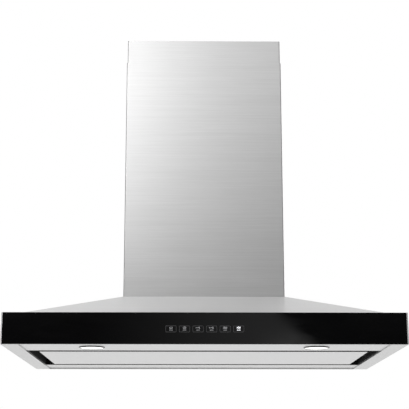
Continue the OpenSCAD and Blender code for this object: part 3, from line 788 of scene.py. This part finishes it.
def dress_cad_nodes():
    """CAD nodes whose shape is right keep it, and get their finish."""
    zinc = ["ceiling_plate", "flue_seat", "chassis_plate", "panel_back", "hinge_brackets",
            "panel_catches", "blower_box", "scroll_housing", "motor_bracket", "outlet_collar",
            "upper_post_bolts", "post_clamp_screws", "fan_wheel"]
    posts = ("upper_post_front", "upper_post_rear", "lower_post_")
    paint(zinc + [node for node in NODES if node.startswith(posts)], ZINC)
    paint(["suction_liner", "power_box"], BLACK_COAT_AND_PAINTED_SHADE)
    paint(["key_housing"], moulded_plastic("black_plastic", (0.012, 0.012, 0.013)))
    paint(["control_board"], circuit_board())
    paint(["lamp_bodies"], ALU)
    paint(["motor"], powder_coat("motor_paint", (0.05, 0.05, 0.055)))
    paint(["motor_shaft", "damper_pin"], turned_steel())
    flap_grey = moulded_plastic("grey_plastic", (0.20, 0.205, 0.21))
    paint(["damper_flap_left", "damper_flap_right"], flap_grey)


# ---------------------------------------------------------------- studio lights
# Name, place and power in watts: a key box high on the left in front, and a weaker one behind on
# the right for the rear faces.

LIGHTS = (("key", (-1.15, -2.9, 0.85), 19.5), ("rear_fill", (3.6, 2.8, 0.4), 16))
SOFT_BOX = (1.8, 1.5)


def make_lights():
    """Rectangular soft boxes that the camera doesn't see, turned to the middle of the flue."""
    flue = Vector((0, 0, BOTTOM_Z / 2))
    for name, location, power in LIGHTS:
        data = bpy.data.lights.new(name, "AREA")
        data.shape = "RECTANGLE"
        data.size, data.size_y = SOFT_BOX
        data.energy = power
        obj = bpy.data.objects.new(name, data)
        bpy.context.scene.collection.objects.link(obj)
        obj.location = location
        obj.rotation_euler = (flue - Vector(location)).to_track_quat("-Z", "Y").to_euler()
        obj.visible_camera = False


# ---------------------------------------------------------------- card that the glass reflects
# Heights are above the underside of the hood. A glow is (span, brightness at its bright end).

CARD_Y = -7.2
CARD_X = (-1.1, 1.3)
CARD_Z = (0.55, 1.2)
CARD_DARK = 0.05
RISE_X = ((-1.0, 0.75), 0.34)
LOW_GLOW_Z = ((0.78, 0.95), 0.36)
LOW_GLOW_X = (0.45, 0.98)
SLANT_EDGE = (1.70, 1.86)


def make_card():
    """Dim card far in front, seen only in the glass: a glow that ends in a slanting edge."""
    (left, right), (low, high) = CARD_X, CARD_Z
    corners = [(left, low), (right, low), (right, high), (left, high)]
    mesh = bpy.data.meshes.new("card")
    mesh.from_pydata([(x, CARD_Y, z + BOTTOM_Z) for x, z in corners], [], [(0, 1, 2, 3)])
    mat = bpy.data.materials.new("card")
    mat.use_nodes = True
    tree = mat.node_tree
    tree.nodes.clear()
    coords = tree.nodes.new("ShaderNodeTexCoord")
    x, _, row_z = split(tree, coords.outputs["Object"])
    z = calc(tree, "SUBTRACT", row_z, BOTTOM_Z)
    rise = ranged(tree, x, RISE_X[0], (0, RISE_X[1]))
    low_glow = ranged(tree, z, LOW_GLOW_Z[0], (LOW_GLOW_Z[1], 0))
    glow = calc(tree, "ADD", rise, ranged(tree, x, LOW_GLOW_X, (0, low_glow)))
    slant = ranged(tree, calc(tree, "ADD", x, z), SLANT_EDGE, (1, 0))
    lit = calc(tree, "ADD", calc(tree, "MULTIPLY", glow, slant), CARD_DARK)
    emission = tree.nodes.new("ShaderNodeEmission")
    tree.links.new(lit, emission.inputs["Strength"])
    out = tree.nodes.new("ShaderNodeOutputMaterial")
    tree.links.new(emission.outputs[0], out.inputs["Surface"])
    card = add_object("card", mesh, mat)
    card.visible_camera = False
    card.visible_shadow = False
    card.visible_diffuse = False


# ---------------------------------------------------------------- floor

FLOOR_BELOW = 4.6
FLOOR_HALF = 60
FLOOR_FADE = (5, 14)
FRONT_Y_SPAN, FRONT_MIRROR = (-4, 2), (0.62, 1)


def make_floor():
    """Pale floor that turns into the white surroundings far away. The hood mirrors a dimmer far
    floor in front than behind."""
    bm = bmesh.new()
    bmesh.ops.create_grid(bm, x_segments=1, y_segments=1, size=FLOOR_HALF)
    bm.transform(Matrix.Translation((0, 0, BOTTOM_Z - FLOOR_BELOW)))
    mesh = bpy.data.meshes.new("floor")
    bm.to_mesh(mesh)
    bm.free()
    s = Shader("floor")
    s.colour(s.ramp(s.noise(scale=2, detail=2), (0.80, 0.80, 0.80), (0.84, 0.84, 0.84)))
    s.set(Roughness=0.9)
    flat = s.stretched(1, 1, 0)
    length = s.tree.nodes.new("ShaderNodeVectorMath")
    length.operation = "LENGTH"
    s.link(flat, length.inputs[0])
    far = ranged(s.tree, length.outputs["Value"], FLOOR_FADE, (0, 1))
    path = s.tree.nodes.new("ShaderNodeLightPath")
    glow = s.tree.nodes.new("ShaderNodeEmission")
    mirrored = ranged(s.tree, split(s.tree, flat)[1], FRONT_Y_SPAN, FRONT_MIRROR)
    seen = path.outputs["Is Camera Ray"]
    s.link(calc(s.tree, "MAXIMUM", seen, mirrored), glow.inputs["Strength"])
    blend = s.tree.nodes.new("ShaderNodeMixShader")
    for value, socket in zip((far, s.bsdf.outputs[0], glow.outputs[0]), blend.inputs):
        s.link(value, socket)
    s.link(blend.outputs[0], s.out.inputs["Surface"])
    add_object("floor", mesh, s.mat)


# ---------------------------------------------------------------- surroundings
# Each line is a span of the direction's X, Y or Z, and the strengths at its two ends.

HORIZON_BY_Y = ((-0.1, 0.85), (0.045, 1.08))
CEILING_BY_X = ((-0.3, 0.5), (1.12, 0.88))
OVERHEAD_BY_Y = ((-0.5, 0.1), (1.55, 1.1))
SIDE_DROP_BY_X = ((0.35, 0.85), (0, 0.45))
OVERHEAD_Z = (0.58, 0.8)
CEILING_Z = (0.11, 0.42)


def make_world():
    """White to the eye. What reflects it meets a bright ceiling and back, and dim sides and
    front; toward the sides the bright ceiling starts higher up."""
    world = bpy.data.worlds.new("studio")
    bpy.context.scene.world = world
    world.use_nodes = True
    tree = world.node_tree
    tree.nodes.clear()
    coords = tree.nodes.new("ShaderNodeTexCoord")
    x, y, z = split(tree, coords.outputs["Generated"])
    horizon = ranged(tree, y, *HORIZON_BY_Y)
    ceiling = ranged(tree, x, *CEILING_BY_X)
    overhead = ranged(tree, y, *OVERHEAD_BY_Y)
    soft = ranged(tree, z, OVERHEAD_Z, (ceiling, overhead))
    drop = ranged(tree, calc(tree, "ABSOLUTE", x), *SIDE_DROP_BY_X)
    height = calc(tree, "SUBTRACT", z, drop)
    room = tree.nodes.new("ShaderNodeBackground")
    tree.links.new(ranged(tree, height, CEILING_Z, (horizon, soft)), room.inputs["Strength"])
    seen = tree.nodes.new("ShaderNodeBackground")
    for node in (room, seen):
        node.inputs["Color"].default_value = (1, 1, 1, 1)
    path = tree.nodes.new("ShaderNodeLightPath")
    mix = tree.nodes.new("ShaderNodeMixShader")
    out = tree.nodes.new("ShaderNodeOutputWorld")
    chosen = (path.outputs["Is Camera Ray"], room.outputs[0], seen.outputs[0])
    for value, socket in zip(chosen, mix.inputs):
        tree.links.new(value, socket)
    tree.links.new(mix.outputs[0], out.inputs[0])
    bpy.context.scene.view_settings.view_transform = "Standard"


make_camera()
dress_sheet_metal()
dress_keys()
paint_panel_gap_shade()
dress_lamps()
dress_filters()
dress_cad_nodes()
make_lights()
make_card()
make_floor()
make_world()
